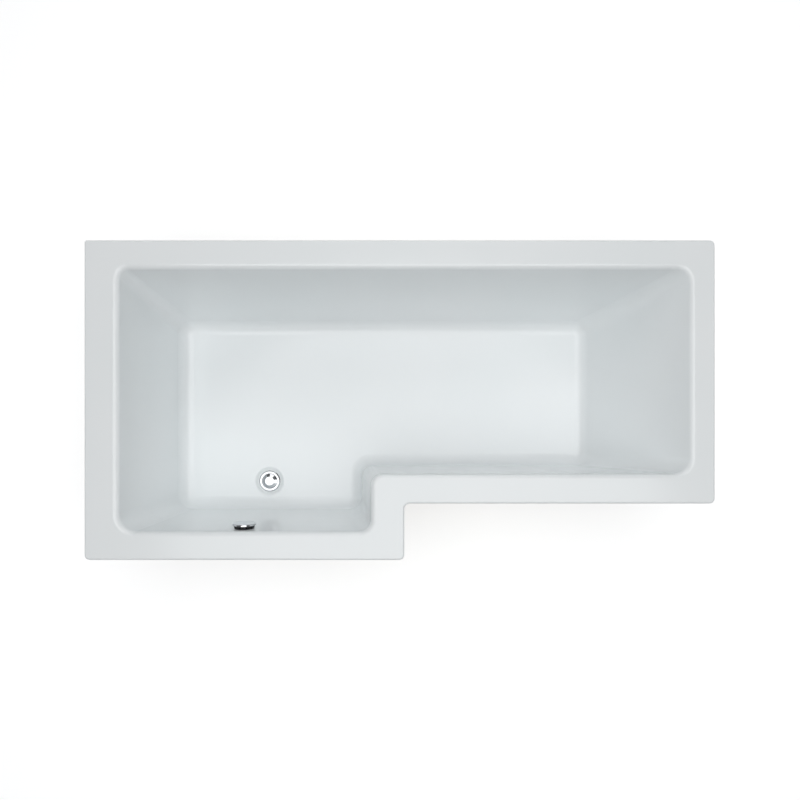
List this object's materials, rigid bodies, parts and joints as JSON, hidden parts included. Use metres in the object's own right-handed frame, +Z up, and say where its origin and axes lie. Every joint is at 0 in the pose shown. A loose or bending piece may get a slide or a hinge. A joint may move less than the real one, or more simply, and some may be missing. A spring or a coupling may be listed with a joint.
{
  "type": "l-shaped shower bath",
  "caption": "L-shaped inset shower bath with a wide showering end, a floor waste whose plug a turning overflow knob lifts, adjustable feet and a shallow trap.",
  "frame": {"origin": "centre of the bounding box at the floor", "axes": "+X along the length towards the narrow end, +Y towards the back wall, +Z up"},
  "size_m": [1.675, 0.85, 0.56],
  "materials": {
    "white_acrylic": "smooth gloss",
    "glass_fibre_laminate": "rough sprayed laminate",
    "chipboard": "raw board",
    "softwood": "sawn",
    "zinc_plated_steel": "bright zinc",
    "black_plastic": "matt",
    "chrome": "polished",
    "black_rubber": "soft matt",
    "white_plastic": "moulded satin",
    "grey_hose": "satin",
    "acetal": "satin"
  },
  "bodies": {
    "bath": {"baseboard": "chipboard", "bath_shell": "white_acrylic", "bearer_screws": "zinc_plated_steel", "centre_leg_plate": "zinc_plated_steel", "control_cable": "black_plastic", "fibreglass_backing": "glass_fibre_laminate", "hose_nut_lower": "white_plastic", "hose_nut_upper": "white_plastic", "leg_bearer_left": "zinc_plated_steel", "leg_bearer_middle": "zinc_plated_steel", "leg_bearer_right": "zinc_plated_steel", "lever_pin": "zinc_plated_steel", "lower_lock_nuts": "zinc_plated_steel", "overflow_body": "white_plastic", "overflow_collar": "black_plastic", "overflow_hose": "grey_hose", "overflow_seal": "black_rubber", "rim_batten_back": "softwood", "rim_batten_front": "softwood", "rim_batten_left": "softwood", "rim_batten_right": "softwood", "rim_batten_step": "softwood", "rim_batten_waist": "softwood", "trap_body": "white_plastic", "trap_cleaning_cap": "white_plastic", "trap_inlet_nut": "white_plastic", "trap_inlet_seal": "black_rubber", "trap_outlet_nut": "white_plastic", "trap_outlet_seal": "black_rubber", "upper_lock_nuts": "zinc_plated_steel", "wall_bracket_left": "zinc_plated_steel", "wall_bracket_right": "zinc_plated_steel", "waste_body": "white_plastic", "waste_body_seal": "black_rubber", "waste_flange": "chrome", "waste_flange_seal": "black_rubber"},
    "plug": {"pop_up_plug": "chrome", "plug_stem": "zinc_plated_steel", "plug_seal": "black_rubber"},
    "lever": {"lift_lever": "acetal"},
    "control_knob": {"overflow_knob": "chrome", "knob_spindle": "zinc_plated_steel", "cable_cam": "acetal"},
    "foot_left_front": {"foot_stud_left_front": "zinc_plated_steel", "foot_pad_left_front": "black_plastic"},
    "foot_left_back": {"foot_stud_left_back": "zinc_plated_steel", "foot_pad_left_back": "black_plastic"},
    "foot_middle_front": {"foot_stud_middle_front": "zinc_plated_steel", "foot_pad_middle_front": "black_plastic"},
    "foot_middle_back": {"foot_stud_middle_back": "zinc_plated_steel", "foot_pad_middle_back": "black_plastic"},
    "foot_right_front": {"foot_stud_right_front": "zinc_plated_steel", "foot_pad_right_front": "black_plastic"},
    "foot_right_back": {"foot_stud_right_back": "zinc_plated_steel", "foot_pad_right_back": "black_plastic"},
    "foot_centre": {"foot_stud_centre": "zinc_plated_steel", "foot_pad_centre": "black_plastic"}
  },
  "joints": [
    {"name": "knob_turn", "type": "hinge", "parent": "bath", "child": "control_knob", "pos_m": [-0.424, -0.34435, 0.508], "axis": [0, 0.9942, 0.108], "range_deg": [0, 90]},
    {"name": "lever_swing", "type": "hinge", "parent": "bath", "child": "lever", "pos_m": [-0.424, -0.2003, 0.1137], "axis": [-1, 0, 0], "range_deg": [0, 27.2]},
    {"name": "plug_rise", "type": "slide", "parent": "bath", "child": "plug", "axis": [0, 0, 1], "range_m": [0, 0.0101]},
    {"name": "foot_left_front_height", "type": "slide", "parent": "bath", "child": "foot_left_front", "axis": [0, 0, -1], "range_m": [-0.015, 0.03]},
    {"name": "foot_left_back_height", "type": "slide", "parent": "bath", "child": "foot_left_back", "axis": [0, 0, -1], "range_m": [-0.015, 0.03]},
    {"name": "foot_middle_front_height", "type": "slide", "parent": "bath", "child": "foot_middle_front", "axis": [0, 0, -1], "range_m": [-0.015, 0.03]},
    {"name": "foot_middle_back_height", "type": "slide", "parent": "bath", "child": "foot_middle_back", "axis": [0, 0, -1], "range_m": [-0.015, 0.03]},
    {"name": "foot_right_front_height", "type": "slide", "parent": "bath", "child": "foot_right_front", "axis": [0, 0, -1], "range_m": [-0.015, 0.03]},
    {"name": "foot_right_back_height", "type": "slide", "parent": "bath", "child": "foot_right_back", "axis": [0, 0, -1], "range_m": [-0.015, 0.03]},
    {"name": "foot_centre_height", "type": "slide", "parent": "bath", "child": "foot_centre", "axis": [0, 0, -1], "range_m": [-0.015, 0.03]}
  ],
  "couplings": [
    {"joint": "lever_swing", "follows": "knob_turn", "ratio": 0.3017},
    {"joint": "plug_rise", "follows": "knob_turn", "m_per_rad": 0.006366}
  ]
}
